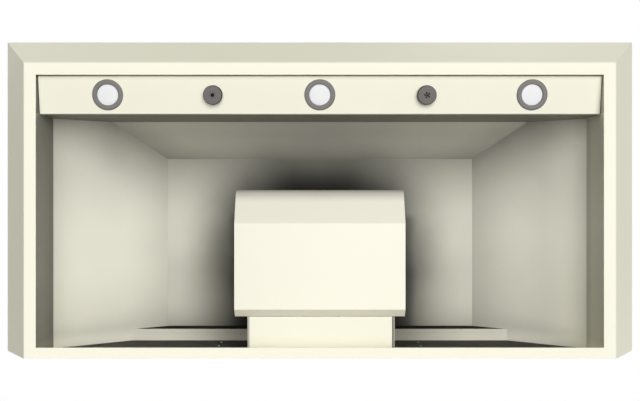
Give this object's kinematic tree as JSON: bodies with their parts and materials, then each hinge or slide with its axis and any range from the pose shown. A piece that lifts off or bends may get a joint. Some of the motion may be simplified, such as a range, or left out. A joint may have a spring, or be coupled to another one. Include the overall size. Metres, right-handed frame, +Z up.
{
  "type": "range hood",
  "caption": "Wall mount range hood with a flared painted canopy, tilted light and control panel, centrifugal blower under a drop-off cover, and a round duct collar with a damper.",
  "frame": {"origin": "on the wall plane, at the middle of the back panel's lower edge, level with the downward face of the rim", "axes": "+X to the right along the wall for someone in the room facing it, +Y into the wall, +Z up"},
  "size_m": [1.2192, 0.602, 0.5092],
  "materials": {
    "canopy_paint": "satin powder coat",
    "panel_paint": "satin powder coat",
    "liner_paint": "satin powder coat, shaded",
    "blower_paint": "satin powder coat",
    "galvanised": "zinc coated sheet",
    "lamp_trim": "turned, satin",
    "lamp_glass": "frosted",
    "lamp_can_metal": "plain",
    "reflector": "bright",
    "knob_finish": "satin graphite",
    "bright_steel": "zinc plated",
    "dark_plastic": "moulded",
    "motor_paint": "satin black",
    "gland_metal": "die cast"
  },
  "bodies": {
    "hood": {"back_panel": "canopy_paint", "cable_gland": "gland_metal", "collar_screws": "bright_steel", "cover_catches": "bright_steel", "damper_pin": "bright_steel", "duct_collar": "galvanised", "end_panel_left": "canopy_paint", "end_panel_right": "canopy_paint", "fan_switch_body": "dark_plastic", "front_panel": "canopy_paint", "hanger_left": "galvanised", "hanger_right": "galvanised", "inlet_ring_left": "galvanised", "inlet_ring_right": "galvanised", "inlet_screws": "bright_steel", "lamp_bulb_centre": "reflector", "lamp_bulb_left": "reflector", "lamp_bulb_right": "reflector", "lamp_can_centre": "lamp_can_metal", "lamp_can_left": "lamp_can_metal", "lamp_can_right": "lamp_can_metal", "lamp_lens_centre": "lamp_glass", "lamp_lens_left": "lamp_glass", "lamp_lens_right": "lamp_glass", "lamp_ring_centre": "lamp_trim", "lamp_ring_left": "lamp_trim", "lamp_ring_right": "lamp_trim", "light_panel": "panel_paint", "light_panel_screws": "bright_steel", "light_switch_body": "dark_plastic", "liner_ceiling": "liner_paint", "liner_front": "liner_paint", "liner_left": "liner_paint", "liner_right": "liner_paint", "lip_front": "canopy_paint", "lip_left": "canopy_paint", "lip_right": "canopy_paint", "motor_body": "motor_paint", "motor_bracket": "galvanised", "outlet_transition": "galvanised", "rear_rail": "liner_paint", "scroll_front": "galvanised", "scroll_rear": "galvanised", "scroll_side_left": "galvanised", "scroll_side_right": "galvanised", "switch_nuts": "bright_steel", "terminal_block": "dark_plastic", "top_panel": "canopy_paint", "wiring_box": "liner_paint", "wiring_cover": "panel_paint"},
    "blower_cover": {"blower_cover": "blower_paint"},
    "fan": {"blower_wheel": "galvanised", "motor_shaft": "bright_steel"},
    "light_knob": {"light_knob": "knob_finish", "light_switch_shaft": "bright_steel"},
    "fan_knob": {"fan_knob": "knob_finish", "fan_switch_shaft": "bright_steel"},
    "damper_front": {"damper_flap_front": "galvanised"},
    "damper_rear": {"damper_flap_rear": "galvanised"}
  },
  "joints": [
    {"name": "fan_spin", "type": "hinge", "parent": "hood", "child": "fan", "pos_m": [0, -0.205, 0.155], "axis": [1, 0, 0], "continuous": true},
    {"name": "light_knob_turn", "type": "hinge", "parent": "hood", "child": "light_knob", "pos_m": [-0.1995, -0.49114, 0.01532], "axis": [0, 0.1582, -0.9874], "range_deg": [0, 270]},
    {"name": "fan_knob_turn", "type": "hinge", "parent": "hood", "child": "fan_knob", "pos_m": [0.1995, -0.49114, 0.01532], "axis": [0, 0.1582, -0.9874], "range_deg": [0, 270]},
    {"name": "damper_front_open", "type": "hinge", "parent": "hood", "child": "damper_front", "pos_m": [0, -0.165, 0.4792], "axis": [-1, 0, 0], "range_deg": [0, 80]},
    {"name": "damper_rear_open", "type": "hinge", "parent": "hood", "child": "damper_rear", "pos_m": [0, -0.165, 0.4792], "axis": [1, 0, 0], "range_deg": [0, 80]},
    {"name": "blower_cover_off", "type": "slide", "parent": "hood", "child": "blower_cover", "axis": [0, 0, -1], "range_m": [0, 0.2]}
  ]
}
